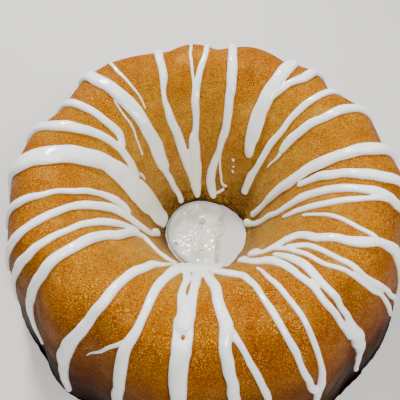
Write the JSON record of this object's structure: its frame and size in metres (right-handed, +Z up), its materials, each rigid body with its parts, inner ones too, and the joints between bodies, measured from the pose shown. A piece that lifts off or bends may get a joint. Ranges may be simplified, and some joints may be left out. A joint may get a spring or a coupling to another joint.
{
  "type": "pound cake",
  "caption": "Ring-shaped pound cake with a softly fluted outside, a funnel-shaped centre hole and stripes of poured white icing that run over the crown.",
  "frame": {"origin": "centre of the round base, on the surface the cake stands on", "axes": "+Z up through the hole, +Y away from the viewer of the picture, +X to the right"},
  "size_m": [0.2418, 0.2432, 0.0786],
  "materials": {
    "crust": "golden-brown baked crust, fine-grained, a little moist",
    "icing": "poured white sugar icing, set to a soft gloss"
  },
  "bodies": {
    "root": {"cake": "crust", "icing_pool": "icing"}
  },
  "joints": []
}
